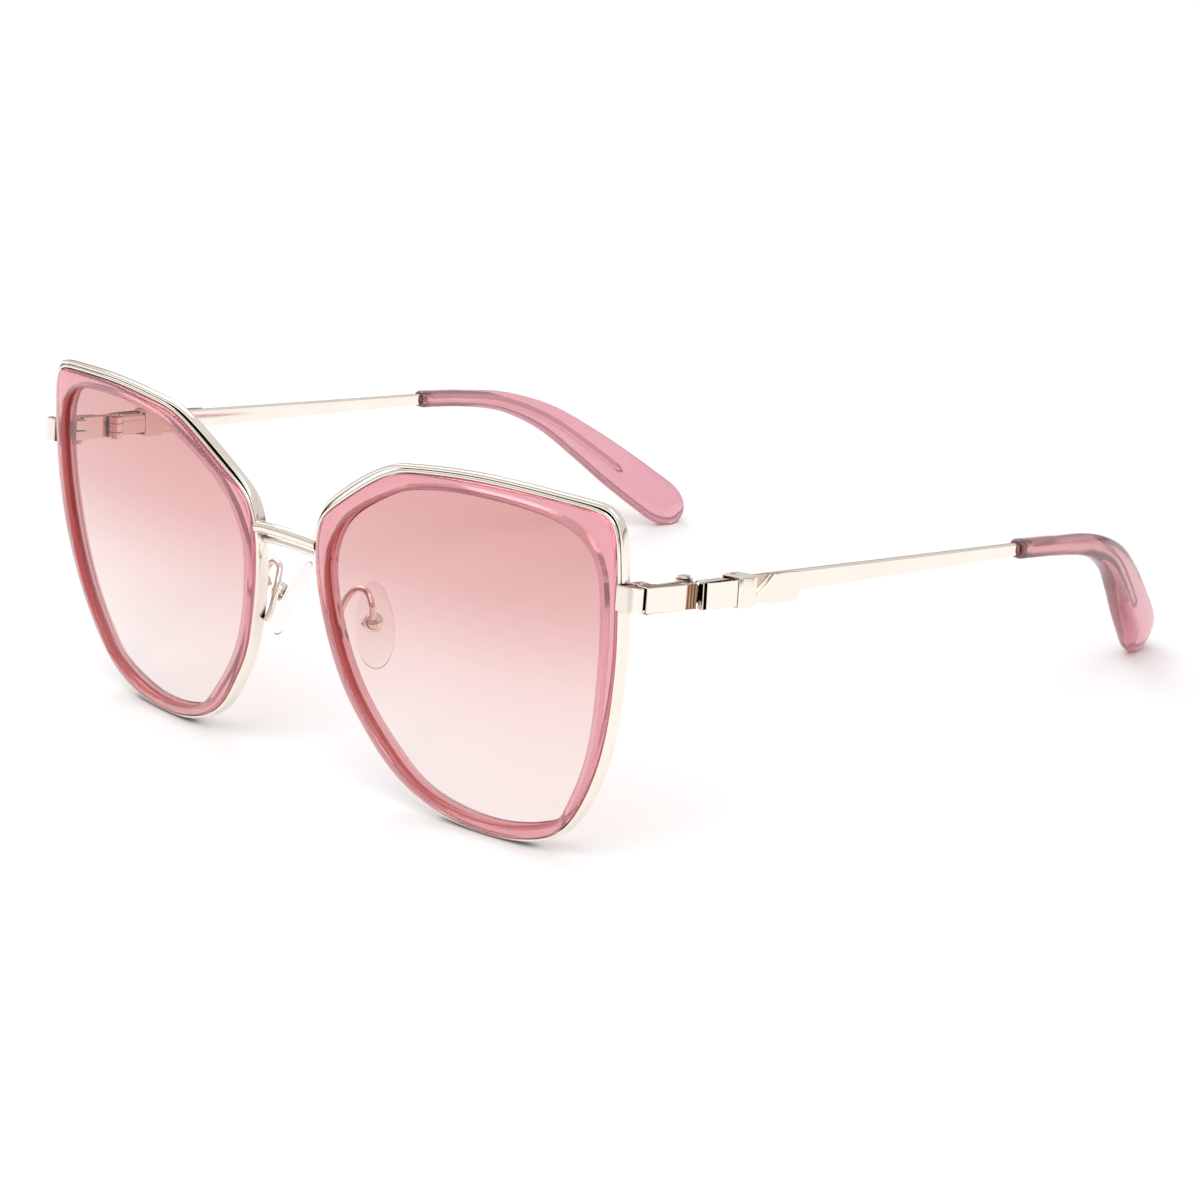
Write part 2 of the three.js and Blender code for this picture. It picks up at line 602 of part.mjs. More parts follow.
for (const [sign, side] of [[1, 'left'], [-1, 'right']]) {
  buildEye(sign, side);
  buildEndpiece(sign, side);
  buildTemple(sign, side);
  buildPad(sign, side);
}
for (const [name, bar] of [['bridge_front_bar', BRIDGE_FRONT], ['bridge_back_bar', BRIDGE_BACK]]) {
  const seat = framed(1, new THREE.Vector3(0, bar.y, bar.z), 0, 0);
  place(seat, name, bridgeBar(bar), gold, 1);
}

const sunglasses = new THREE.Group();
worn.rotation.x = REST_TILT;
worn.position.set(0, REST_BACK, REST_HEIGHT);
sunglasses.add(worn);

export default sunglasses;
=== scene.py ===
"""Finished look of the cat eye sunglasses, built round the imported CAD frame.

Shapes are written in millimetres, in the same frames as the CAD parts: an eye's own frame, the sloping
endpiece, the temple's hinge frame and the nose pad's frame. add_piece() scales them to metres.
"""
import math

import bmesh
import bpy
from mathutils import Euler, Matrix, Vector


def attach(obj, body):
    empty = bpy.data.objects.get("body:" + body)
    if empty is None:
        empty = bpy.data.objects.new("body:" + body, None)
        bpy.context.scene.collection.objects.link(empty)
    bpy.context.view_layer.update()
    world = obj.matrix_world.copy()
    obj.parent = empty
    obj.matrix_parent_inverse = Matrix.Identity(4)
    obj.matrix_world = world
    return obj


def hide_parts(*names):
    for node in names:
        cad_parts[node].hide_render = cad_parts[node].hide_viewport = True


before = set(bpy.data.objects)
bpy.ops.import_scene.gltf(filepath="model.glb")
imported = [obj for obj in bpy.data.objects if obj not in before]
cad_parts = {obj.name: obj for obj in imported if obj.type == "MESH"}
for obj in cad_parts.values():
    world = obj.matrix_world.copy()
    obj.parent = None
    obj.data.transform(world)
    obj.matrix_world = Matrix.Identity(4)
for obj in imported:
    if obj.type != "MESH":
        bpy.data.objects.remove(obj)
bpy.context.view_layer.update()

# ---- driving dimensions, millimetres and radians, as in the CAD ---------------------------
MM = 0.001
EYE_CENTRE_X = 38.0
WRAP = 0.08
FACE_RADIUS = 170.0
FIT_GAP = 0.1
LINER_DEPTH = 2.8
EYEWIRE_FRONT = 0.35
EYEWIRE_DEPTH = 2.0
EYEWIRE_THICK = 0.5
BROW_FRONT = 0.5
BROW_THICK = 0.45
BROW_DEPTH = 1.0
BROW_SPLAY = 0.5
LENS_FRONT = 0.85
LENS_THICK = 1.2
LENS_INTO_GROOVE = 0.5
GROOVE_DEEP = 0.7
LOCK_HEIGHT = 13.3
SIDE_OUT = 71.4
ARM_THICK = 1.6
ARM_HEIGHT = 3.5
ARM_SLOPE = -0.18
BLOCK_IN = 68.3
BLOCK_FRONT_Y = 5.6
BLOCK_BACK_Y = 7.35
BLOCK_CORNER = 1.5
NOTCH = 0.5
HINGE = Vector((68.2, 17.2, 11.6))
TEMPLE_SLOPE = -0.143
BAR_IN = 1.2
BAR_OUT = 2.4
BAR_SEAT = 2.3
SEAT_END = 19.2
TANG_START = 63.3
BAR_END = 64.5
TIP_START = 63.6
KEEPER_START = 6.2
KEEPER_LENGTH = 3.3
RIBBON_IN = 2.55
BRIDGE_FRONT = {"y": 1.7, "z": 10.1, "radius": 0.85, "half": 7.0, "arch": 0.5}
BRIDGE_BACK = {"y": 2.4, "z": 8.1, "radius": 0.52, "half": 6.85, "arch": 0.45}
RIBS = 4
RIB_PITCH = 0.55
RIB_SEAT = SIDE_OUT - 0.45
RIBS_START = HINGE.y - RIBS * RIB_PITCH
RIBS_END = RIBS_START + RIBS * RIB_PITCH
PAD_CENTRE = Vector((10.1, 8.4, -3.2))
PAD_UP = Vector((-0.366, 0.318, 0.875))
PAD_FACE = Vector((-0.66, 0.57, -0.485))
WORN = Matrix.Translation((0, -63.223, 26.3)) @ Matrix.Rotation(0.0103, 4, "X")
CAMERA_AT = Vector((406.273, -280.464, 156.436))   # in the frame the glasses are worn in
CAMERA_TURN = (72.0804, 3.2921, 48.9971)
CAMERA_LENS = 106.31

# Control points of the liner's outer and inner outline: towards the temple, then up.
OUTER = [
    (29, 1), (30, 8.25), (30, 19.5), (29.25, 24), (24.5, 24.75), (6.75, 26),
    (-6, 25), (-12.5, 24.25), (-25.25, 16.75), (-30, 13.75), (-30.75, 4.25), (-26.75, -9.25),
    (-22.5, -14.5), (-15.5, -23), (-1.25, -26.5), (14, -25), (20.25, -20), (26.5, -9.5),
]
INNER = [
    (26.75, 3), (27.25, 8), (27.5, 16), (25.5, 20.25), (19.25, 23.25), (2.5, 24),
    (-6, 22.75), (-10, 22), (-22.5, 16.25), (-26.5, 11), (-28.5, 5.75), (-25, -9.5),
    (-15.5, -18.5), (-11.25, -22.75), (4, -25), (17, -21.25), (18.25, -19.25), (24.25, -10.25),
]
COLUMNS = len(OUTER) * 12

SIDES = ((1, "left"), (-1, "right"))


# ---- materials ----------------------------------------------------------------------------
def set_stops(elements, stops):
    """Fills a colour ramp with (place, colour) stops."""
    while len(elements) < len(stops):
        elements.new(0.5)
    for element, (place, colour) in zip(elements, stops):
        element.position = place
        element.color = (*colour, 1)


class Nodes:
    """A new material with its node tree and short ways to add and link nodes."""

    def __init__(self, name):
        self.material = bpy.data.materials.new(name)
        self.material.use_nodes = True
        self.tree = self.material.node_tree
        self.tree.nodes.clear()
        self.output = self.add("ShaderNodeOutputMaterial")

    def add(self, kind, **values):
        node = self.tree.nodes.new(kind)
        for name, value in values.items():
            if hasattr(node, name):
                setattr(node, name, value)
            else:
                node.inputs[name.replace("_", " ")].default_value = value
        return node

    def link(self, source, target):
        self.tree.links.new(source, target)

    def ramp(self, factor, stops):
        """Colour ramp from (place, colour) stops."""
        node = self.add("ShaderNodeValToRGB")
        set_stops(node.color_ramp.elements, stops)
        self.link(factor, node.inputs["Fac"])
        return node.outputs["Color"]

    def grain(self, scale, detail=3.0, stretch=(1, 1, 1)):
        """Noise over the object's own coordinates, stretched for a brushed grain."""
        place = self.add("ShaderNodeTexCoord")
        mapping = self.add("ShaderNodeMapping")
        mapping.inputs["Scale"].default_value = stretch
        self.link(place.outputs["Object"], mapping.inputs["Vector"])
        texture = self.add("ShaderNodeTexNoise", Scale=scale, Detail=detail)
        self.link(mapping.outputs["Vector"], texture.inputs["Vector"])
        return texture.outputs["Fac"]

    def spread(self, factor, low, high):
        """Maps 0..1 to low..high."""
        node = self.add("ShaderNodeMapRange")
        node.inputs["To Min"].default_value = low
        node.inputs["To Max"].default_value = high
        self.link(factor, node.inputs["Value"])
        return node.outputs["Result"]

    def bump(self, factor, strength, distance):
        node = self.add("ShaderNodeBump", Strength=strength, Distance=distance)
        self.link(factor, node.inputs["Height"])
        return node.outputs["Normal"]


def plated_gold():
    """Polished pale gold plate: slight tone drift, hairline polish marks, and brown painted shade in the
    crevices from ambient occlusion.
    """
    n = Nodes("plated gold")
    bsdf = n.add("ShaderNodeBsdfPrincipled", Metallic=1.0)
    tone = n.ramp(n.grain(90), [(0.3, (0.89, 0.825, 0.75)), (0.7, (0.935, 0.875, 0.80))])
    # painted shade: ambient occlusion darkens the base colour to brown in crevices and gaps
    crevice = n.add("ShaderNodeAmbientOcclusion", samples=8, Distance=0.0012)
    painted_crevice_shade = n.ramp(crevice.outputs["AO"], [(0.3, (0.11, 0.045, 0.025)), (0.78, (1, 1, 1))])
    both = n.add("ShaderNodeMix", data_type="RGBA", blend_type="MULTIPLY")
    both.inputs["Factor"].default_value = 1.0
    n.link(tone, both.inputs["A"])
    n.link(painted_crevice_shade, both.inputs["B"])
    n.link(both.outputs["Result"], bsdf.inputs["Base Color"])
    n.link(n.spread(n.grain(700, 4), 0.05, 0.13), bsdf.inputs["Roughness"])
    n.link(n.bump(n.grain(2500, 2, (1, 0.1, 1)), 0.05, 0.00002), bsdf.inputs["Normal"])
    n.link(bsdf.outputs["BSDF"], n.output.inputs["Surface"])
    return n.material


def gold_with_painted_light(name, dark, light):
    """Plated gold with painted light: darker copies of the plating that paint in the shade deep between ribs
    and folds and the rose reflection beside the liner.
    """
    n = Nodes(name)
    bsdf = n.add("ShaderNodeBsdfPrincipled", Metallic=1.0)
    tone = n.ramp(n.grain(400, 4, (1, 1, 0.2)), [(0.35, dark), (0.65, light)])
    n.link(tone, bsdf.inputs["Base Color"])
    n.link(n.spread(n.grain(900, 4), 0.14, 0.26), bsdf.inputs["Roughness"])
    n.link(bsdf.outputs["BSDF"], n.output.inputs["Surface"])
    return n.material


def rose_acetate(name, tones, depth_colour, density, clearness=0.86):
    """Slightly milky rose acetate: its colour deepens with the length of the way through it."""
    n = Nodes(name)
    bsdf = n.add("ShaderNodeBsdfPrincipled", Transmission_Weight=clearness, IOR=1.49)
    tone = n.ramp(n.grain(140, 4, (1, 1, 0.4)), [(0.3, tones[0]), (0.7, tones[1])])
    n.link(tone, bsdf.inputs["Base Color"])
    n.link(n.spread(n.grain(300, 2), 0.07, 0.13), bsdf.inputs["Roughness"])
    n.link(n.bump(n.grain(300, 2), 0.02, 0.00002), bsdf.inputs["Normal"])
    depth = n.add("ShaderNodeVolumeAbsorption", Color=(*depth_colour, 1), Density=density)
    n.link(bsdf.outputs["BSDF"], n.output.inputs["Surface"])
    n.link(depth.outputs["Volume"], n.output.inputs["Volume"])
    return n.material


def gradient_tint():
    """Lens tint, deep rose at the top and nearly clear at the bottom, with a reflecting coat."""
    n = Nodes("gradient lens tint")
    place = n.add("ShaderNodeTexCoord")
    split = n.add("ShaderNodeSeparateXYZ")
    n.link(place.outputs["Generated"], split.inputs["Vector"])
    drift = n.add("ShaderNodeMath", operation="MULTIPLY_ADD")
    n.link(n.grain(45), drift.inputs[0])
    drift.inputs[1].default_value = 0.03
    n.link(split.outputs["Z"], drift.inputs[2])
    tint = n.ramp(drift.outputs["Value"], [
        (0.0, (0.99, 0.97, 0.965)), (0.2, (0.98, 0.94, 0.93)), (0.48, (0.935, 0.82, 0.81)),
        (0.72, (0.87, 0.67, 0.665)), (0.95, (0.84, 0.61, 0.605)),
    ])
    clear = n.add("ShaderNodeBsdfTransparent")
    n.link(tint, clear.inputs["Color"])
    shine = n.add("ShaderNodeBsdfGlossy")
    n.link(n.spread(n.grain(600, 3), 0.01, 0.03), shine.inputs["Roughness"])
    facing = n.add("ShaderNodeLayerWeight", Blend=0.5)
    edge = n.add("ShaderNodeMath", operation="POWER")
    n.link(facing.outputs["Facing"], edge.inputs[0])
    edge.inputs[1].default_value = 5.0
    outside = n.add("ShaderNodeNewGeometry")
    share = n.add("ShaderNodeMapRange")
    n.link(outside.outputs["Backfacing"], share.inputs["Value"])
    n.link(n.spread(edge.outputs["Value"], 0.04, 1.0), share.inputs["To Min"])
    share.inputs["To Max"].default_value = 0.0
    blend = n.add("ShaderNodeMixShader")
    n.link(share.outputs["Result"], blend.inputs["Fac"])
    n.link(clear.outputs["BSDF"], blend.inputs[1])
    n.link(shine.outputs["BSDF"], blend.inputs[2])
    n.link(blend.outputs["Shader"], n.output.inputs["Surface"])
    return n.material


def clear_silicone():
    """Clear soft silicone with a fine grain; its edges bend the light less than glass would."""
    n = Nodes("clear silicone")
    bsdf = n.add("ShaderNodeBsdfPrincipled", Transmission_Weight=0.96, IOR=1.14)
    tone = n.ramp(n.grain(220), [(0.3, (0.96, 0.93, 0.91)), (0.7, (0.99, 0.97, 0.96))])
    n.link(tone, bsdf.inputs["Base Color"])
    n.link(n.spread(n.grain(1500, 4), 0.04, 0.1), bsdf.inputs["Roughness"])
    n.link(n.bump(n.grain(2600, 3), 0.06, 0.00003), bsdf.inputs["Normal"])
    n.link(bsdf.outputs["BSDF"], n.output.inputs["Surface"])
    return n.material


def studio_floor():
    """Matt white sweep."""
    n = Nodes("studio floor")
    bsdf = n.add("ShaderNodeBsdfPrincipled", Roughness=0.9)
    tone = n.ramp(n.grain(3), [(0.3, (0.93, 0.93, 0.93)), (0.7, (0.95, 0.95, 0.95))])
    n.link(tone, bsdf.inputs["Base Color"])
    n.link(bsdf.outputs["BSDF"], n.output.inputs["Surface"])
    return n.material


GOLD = plated_gold()
# painted shade: dark brown gold standing in for the shade and dark reflections between the ribs
RIB_SHADE_GOLD = gold_with_painted_light("gold with painted rib shade", (0.24, 0.12, 0.07), (0.46, 0.28, 0.18))
LINER_DEPTH_COLOUR, LINER_DENSITY = (0.84, 0.14, 0.18), 190
LINER_ACETATE = rose_acetate("rose acetate", ((0.94, 0.61, 0.665), (0.955, 0.655, 0.705)),
                             LINER_DEPTH_COLOUR, LINER_DENSITY)
TIP_ACETATE = rose_acetate("rose acetate tips", ((0.90, 0.53, 0.62), (0.92, 0.58, 0.66)),
                           (0.78, 0.33, 0.38), 130)
# painted shade: a darker, less clear copy of the rose acetate for the wall round the lens window
WINDOW_WALL_SHADE_ACETATE = rose_acetate("rose acetate with painted wall shade", ((0.56, 0.10, 0.10), (0.64, 0.15, 0.14)),
                            LINER_DEPTH_COLOUR, LINER_DENSITY, clearness=0.3)
# painted reflection and shade: a darker rose copy of the gold, for the eyewire face beside the rose liner
ROSE_REFLECTION_GOLD = gold_with_painted_light("gold with painted rose reflection", (0.78, 0.30, 0.26), (0.86, 0.38, 0.33))
# painted shade: a darker copy of the gold for the sunk faces of the ribbon tail's fold
FOLD_SHADE_GOLD = gold_with_painted_light("gold with painted fold shade", (0.50, 0.41, 0.33), (0.66, 0.57, 0.48))
TINT = gradient_tint()
SILICONE = clear_silicone()
METAL_SLOT, ACETATE_SLOT, LENS_SLOT, PAD_SLOT = "plated_metal", "acetate", "lens_tint", "pad_silicone"


# ---- mesh helpers ---------------------------------------------------------------------------
def add_piece(name, shape, place, sign, finish, body, node, sharp=35, bevel=0.0):
    """Makes one finished piece from (points, faces) in a CAD frame, and stands it in for its CAD node."""
    points, faces = shape
    material, slot = finish
    turn = Matrix.Scale(MM, 4) @ place @ Matrix.Diagonal((sign, 1, 1, 1))
    mesh = bpy.data.meshes.new(name)
    mesh.from_pydata([turn @ Vector(p) for p in points], [], faces)
    solid = bmesh.new()
    solid.from_mesh(mesh)
    bmesh.ops.remove_doubles(solid, verts=solid.verts, dist=1e-7)
    bmesh.ops.recalc_face_normals(solid, faces=solid.faces)
    solid.to_mesh(mesh)
    solid.free()
    mesh.shade_smooth()
    mesh.set_sharp_from_angle(angle=math.radians(sharp))
    mesh.materials.append(material)
    piece = bpy.data.objects.new(name, mesh)
    bpy.context.scene.collection.objects.link(piece)
    if bevel:
        soften(piece, bevel)
    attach(piece, body)
    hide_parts(node)
    return piece


def accent(piece, material, chosen):
    """Gives a second material to the faces whose number passes the chosen test."""
    piece.data.materials.append(material)
    for face in piece.data.polygons:
        if chosen(face.index):
            face.material_index = 1


def band(around, faces):
    """Test for the faces in one band of a skin that has this many faces around its section."""
    return lambda number: number % around in faces


def soften(piece, width):
    """Rounds every sharp edge, as polishing does."""
    rounding = piece.modifiers.new("rounded edges", "BEVEL")
    rounding.width = width * MM
    rounding.segments = 3
    rounding.limit_method = "ANGLE"
    rounding.angle_limit = math.radians(28)
    rounding.harden_normals = True


def swept(rings, closed_way=False):
    """Skin over a row of equal rings of points; an open row is capped with its end rings."""
    count = len(rings[0])
    points = [p for ring in rings for p in ring]
    faces = []
    rows = len(rings)
    for row in range(rows if closed_way else rows - 1):
        a, b = row * count, (row + 1) % rows * count
        for k in range(count):
            m = (k + 1) % count
            faces.append((a + k, a + m, b + m, b + k))
    if not closed_way:
        faces.append(tuple(range(count)))
        faces.append(tuple(range((rows - 1) * count, rows * count)))
    return points, faces


def prism(outline, low, high):
    """Flat outline pushed upwards from low to high."""
    return swept([[(x, y, low) for x, y in outline], [(x, y, high) for x, y in outline]])


def unit(value):
    """The value, kept between 0 and 1."""
    return min(max(value, 0), 1)


def arc(cx, cy, radius, start, end, steps):
    """Points of a round stretch, angles in degrees."""
    angles = [math.radians(start + (end - start) * k / steps) for k in range(steps + 1)]
    return [(cx + radius * math.cos(a), cy + radius * math.sin(a)) for a in angles]


def rounded_box(x0, x1, y0, y1, radius, steps=4):
    """Rectangle with round corners, anticlockwise from its lower right one."""
    left, right, low, high = x0 + radius, x1 - radius, y0 + radius, y1 - radius
    points = []
    for k, (cx, cy) in enumerate(((right, low), (right, high), (left, high), (left, low))):
        points += arc(cx, cy, radius, 90 * k - 90, 90 * k, steps)
    return points


def smooth_path(points, steps):
    """Catmull-Rom curve through the points, steps pieces between each two."""
    knots = [Vector(p) for p in points]
    knots = [2 * knots[0] - knots[1], *knots, 2 * knots[-1] - knots[-2]]
    path = []
    for k in range(1, len(knots) - 2):
        before, a, b, after = knots[k - 1:k + 3]
        for step in range(steps):
            t = step / steps
            path.append(0.5 * (2 * a + (b - before) * t + (2 * before - 5 * a + 4 * b - after) * t ** 2
                               + (3 * a - before - 3 * b + after) * t ** 3))
    path.append(knots[-2])
    return path


def along_path(path, section_at, side=Vector((1, 0, 0))):
    """Rings of a section laid across each point of a path. section_at(share) gives (side, up) points."""
    rings = []
    last = len(path) - 1
    for k, centre in enumerate(path):
        tangent = (path[min(k + 1, last)] - path[max(k - 1, 0)]).normalized()
        across = (side - tangent * side.dot(tangent)).normalized()
        up = across.cross(tangent)
        rings.append([centre + across * u + up * v for u, v in section_at(k / last)])
    return rings


def oval(half_wide, half_high, sides=24, squareness=2.0):
    """Ellipse; a squareness above 2 makes its sides flatter."""
    power = 2 / squareness
    points = []
    for k in range(sides):
        c, s = math.cos(math.tau * k / sides), math.sin(math.tau * k / sides)
        points.append((half_wide * math.copysign(abs(c) ** power, c),
                       half_high * math.copysign(abs(s) ** power, s)))
    return points


# ---- the eye outline ------------------------------------------------------------------------
def outline_point(control, t):
    """Point of the closed uniform cubic B-spline, t counted in control points."""
    k = math.floor(t)
    t -= k
    weights = ((1 - t) ** 3, 3 * t ** 3 - 6 * t ** 2 + 4, -3 * t ** 3 + 3 * t ** 2 + 3 * t + 1, t ** 3)
    total = Vector((0, 0))
    for j, weight in enumerate(weights):
        total += Vector(control[(k + j - 1) % len(control)]) * weight / 6
    return total


def on_eye(control, t, distance, depth):
    """Point of the eye: on the outline at t, distance outwards, depth behind the curved face."""
    step = 0.05
    ahead = outline_point(control, t + step) - outline_point(control, t - step)
    ahead.normalize()
    flat = outline_point(control, t) + Vector((ahead.y, -ahead.x)) * distance
    return Vector((flat.x, depth + flat.length_squared / (2 * FACE_RADIUS), flat.y))


def eye_frame(sign):
    return WORN @ Matrix.Translation((sign * EYE_CENTRE_X, 0, 0)) @ Matrix.Rotation(WRAP * sign, 4, "Z")


def eye_strip(section, start, end, columns):
    """A wire's section laid along part of the outer outline."""
    times = [start + (end - start) * k / columns for k in range(columns + 1)]
    return swept([[on_eye(OUTER, t, d, y) for d, y in section] for t in times])


LINER_AROUND, WINDOW_WALL = 23, range(16, 20)
RIM_AROUND, RIM_INNER_FACE = 16, range(10, 13)


def liner():
    """Ring with rounded outer edges, a soft chamfer round the window and a groove for the lens."""
    outer_round, inner_round = 0.45, 0.6
    groove = LENS_FRONT - FIT_GAP
    behind = groove + LENS_THICK + 2 * FIT_GAP
    section = [(OUTER, d, y) for d, y in
               arc(-outer_round, outer_round, outer_round, -90, 0, 5)
               + arc(-outer_round, LINER_DEPTH - outer_round, outer_round, 0, 90, 4)]
    section += [(INNER, d, y) for d, y in
                arc(0.3, LINER_DEPTH - 0.1, 0.1, 90, 180, 1) + [(0, behind), (GROOVE_DEEP, behind)]
                + [(GROOVE_DEEP, groove), (0, groove)]
                + arc(inner_round, inner_round, inner_round, 180, 270, 5)]
    rings = [[on_eye(control, k * len(OUTER) / COLUMNS, d, y) for control, d, y in section]
             for k in range(COLUMNS)]
    return swept(rings, closed_way=True)


def lens():
    """Curved disc: rows of points drawn from the edge towards the middle, front then back."""
    fractions = [0, 0.15, 0.3, 0.45, 0.6, 0.75, 0.88, 0.97, 1]
    rows = [(f, LENS_FRONT) for f in fractions] + [(f, LENS_FRONT + LENS_THICK) for f in reversed(fractions)]
    points, faces = [], []
    for k in range(COLUMNS):
        edge = on_eye(INNER, k * len(INNER) / COLUMNS, LENS_INTO_GROOVE, 0)
        for fraction, depth in rows:
            flat = Vector((edge.x, edge.z)) * fraction
            points.append(Vector((flat.x, depth + flat.length_squared / (2 * FACE_RADIUS), flat.y)))
    count = len(rows)
    for k in range(COLUMNS):
        a, b = k * count, (k + 1) % COLUMNS * count
        for row in range(count - 1):
            corners = (a + row, a + row + 1, b + row + 1, b + row)
            if row == 0:
                corners = (a, a + 1, b + 1)
            elif row == count - 2:
                corners = (a + row, a + row + 1, b + row)
            faces.append(corners)
    return points, faces


def outline_time(height):
    """Where the outer outline passes this height on the temple side."""
    t = 0.0
    while outline_point(OUTER, t).y < height:
        t += 0.005
    return t


def eyewire():
    """Thin rim round the liner, with the slit that the rim lock closes."""
    inside, outside = FIT_GAP, FIT_GAP + EYEWIRE_THICK
    section = rounded_box(inside, outside, EYEWIRE_FRONT, EYEWIRE_FRONT + EYEWIRE_DEPTH, 0.17, 3)
    half_slit = 0.15
    return eye_strip(section, outline_time(LOCK_HEIGHT + half_slit),
                     outline_time(LOCK_HEIGHT - half_slit) + len(OUTER), COLUMNS)


def brow_wire():
    """Second wire on the eyewire, standing off at the temporal corner and on the slope to the nose.

    Places along it are counted in control points of the outer outline.
    """
    start, end, columns = 5 / 3, 9.35, 120
    corner_at, corner_reach, corner_lift = 3.1, 0.5, 0.2
    slope_start, slope_end = 19 / 3, 9
    taper_start, taper = 8.6, 0.7
    lift = FIT_GAP + EYEWIRE_THICK + 0.03
    section = rounded_box(lift, lift + BROW_THICK + 0.07, BROW_FRONT, BROW_FRONT + BROW_DEPTH, 0.16, 3)
    rings = []
    for k in range(columns + 1):
        t = start + (end - start) * k / columns
        splay = BROW_SPLAY * math.sin(math.pi * unit((t - slope_start) / (slope_end - slope_start)))
        corner = corner_lift * math.exp(-((t - corner_at) / corner_reach) ** 2)
        size = 1 - taper * unit((t - taper_start) / (end - taper_start))
        rings.append([on_eye(OUTER, t, lift + (d - lift) * size + splay + corner,
                             BROW_FRONT + (y - BROW_FRONT) * size) for d, y in section])
    return swept(rings)


def build_eye(sign, side):
    place = eye_frame(sign)
    metal, plastic = (GOLD, METAL_SLOT), (LINER_ACETATE, ACETATE_SLOT)
    ring = add_piece(f"{side}_acetate_liner", liner(), place, sign, plastic, "front", f"acetate_liner_{side}")
    # the wall round the window gets the painted shade acetate
    accent(ring, WINDOW_WALL_SHADE_ACETATE, band(LINER_AROUND, WINDOW_WALL))
    add_piece(f"{side}_lens", lens(), place, sign, (TINT, LENS_SLOT), "front", f"lens_{side}")
    rim = add_piece(f"{side}_eyewire", eyewire(), place, sign, metal, "front", f"eyewire_{side}", sharp=60)
    # the eyewire's inner face gets the painted rose reflection and shade
    accent(rim, ROSE_REFLECTION_GOLD, band(RIM_AROUND, RIM_INNER_FACE))
    add_piece(f"{side}_brow_wire", brow_wire(), place, sign, metal, "front", f"brow_wire_{side}", sharp=60)


# ---- bridge ---------------------------------------------------------------------------------
def bridge_bar(bar):
    """Round bar, bowed forwards and upwards, flared where it is soldered to the eyewires."""
    half, arch, radius = bar["half"], bar["arch"], bar["radius"]
    reach = half + 0.35
    flare_by, flare_long = 0.28, 0.55

    def bow(x, share):
        return x, -arch * share, arch * share * 0.9

    middle = [bow(-half / 2, 0.75), bow(0, 1), bow(half / 2, 0.75)]
    path = smooth_path([bow(-reach, 0), *middle, bow(reach, 0)], 10)

    def section(share):
        from_end = min(share, 1 - share) * 2 * reach
        flare = 1 + flare_by * math.exp(-(from_end / flare_long) ** 2)
        return oval(radius * flare, radius * flare, 28)

    return swept(along_path(path, section, Vector((0, 1, 0))))


def build_bridge():
    for name, bar in (("bridge_front_bar", BRIDGE_FRONT), ("bridge_back_bar", BRIDGE_BACK)):
        place = WORN @ Matrix.Translation((0, bar["y"], bar["z"]))
        add_piece(name.replace("bridge", "nose_bridge"), bridge_bar(bar), place, 1, (GOLD, METAL_SLOT),
                  "front", name, sharp=60)


# ---- endpieces ------------------------------------------------------------------------------
def endpiece_frame(sign):
    slope = Matrix.Rotation(ARM_SLOPE, 4, "X")
    pivot = Vector((0, BLOCK_BACK_Y, 0))
    return WORN @ Matrix.Translation(Vector((0, 0, LOCK_HEIGHT)) + pivot - slope @ pivot) @ slope


def front_block():
    """Block that wraps round from the front of the rim to the side, its lip reaching over the eyewire."""
    corner = BLOCK_CORNER
    lip, lip_thick, shoulder = BLOCK_IN - 0.45, 0.9, 0.6
    plan = [(lip, BLOCK_FRONT_Y - 0.1)]
    plan += arc(SIDE_OUT - corner, BLOCK_FRONT_Y + corner, corner, -90, 0, 9)
    plan += [(SIDE_OUT, BLOCK_BACK_Y), (BLOCK_IN + shoulder, BLOCK_BACK_Y), (lip, BLOCK_FRONT_Y + lip_thick)]
    return prism(plan, -ARM_HEIGHT / 2, ARM_HEIGHT / 2)


def endpiece_arm():
    """Arm behind the notch, with a foot under it and a lower seat for the ribs at its back end."""
    front = BLOCK_BACK_Y
    start = BLOCK_BACK_Y + NOTCH
    inner, neck, neck_end = SIDE_OUT - ARM_THICK, 69.3, 11.1
    low, high, foot_top = -ARM_HEIGHT / 2, ARM_HEIGHT / 2, -ARM_HEIGHT / 2 + 0.6
    plan = [(neck, start), (SIDE_OUT, start), (SIDE_OUT, RIBS_START), (RIB_SEAT, RIBS_START),
            (RIB_SEAT, RIBS_END), (inner + 0.3, RIBS_END), (inner, RIBS_START), (inner, neck_end),
            (neck, neck_end)]
    points, faces = prism(plan, low, high)
    foot, foot_faces = prism([(inner, front), (SIDE_OUT, front), (SIDE_OUT, start), (inner, start)],
                             low, foot_top)
    first = len(points)
    return points + foot, faces + [tuple(first + k for k in face) for face in foot_faces]


def arm_ribs():
    """Four upright half-round ribs with a dark brown painted shade, at the arm's back end."""
    sunk, gap, inset = 0.1, 0.02, 0.05
    plan = [(RIB_SEAT - sunk, RIBS_START + gap)]
    for k in range(RIBS):
        plan += arc(RIB_SEAT, RIBS_START + (k + 0.5) * RIB_PITCH, RIB_PITCH / 2 - gap, -90, 90, 8)
    plan.append((RIB_SEAT - sunk, RIBS_END))
    return prism(plan, -ARM_HEIGHT / 2 + inset, ARM_HEIGHT / 2 - inset)


def build_endpiece(sign, side):
    place = endpiece_frame(sign)
    pieces = (("endpiece_block", front_block(), 0.16), ("endpiece_arm", endpiece_arm(), 0.09))
    for name, shape, bevel in pieces:
        add_piece(f"{side}_{name}", shape, place, sign, (GOLD, METAL_SLOT), "front", f"{name}_{side}",
                  sharp=30, bevel=bevel)
    # the ribs get the dark brown painted shade
    add_piece(f"{side}_arm_ribs", arm_ribs(), place, sign, (RIB_SHADE_GOLD, METAL_SLOT), "front",
              f"endpiece_arm_{side}", sharp=60)


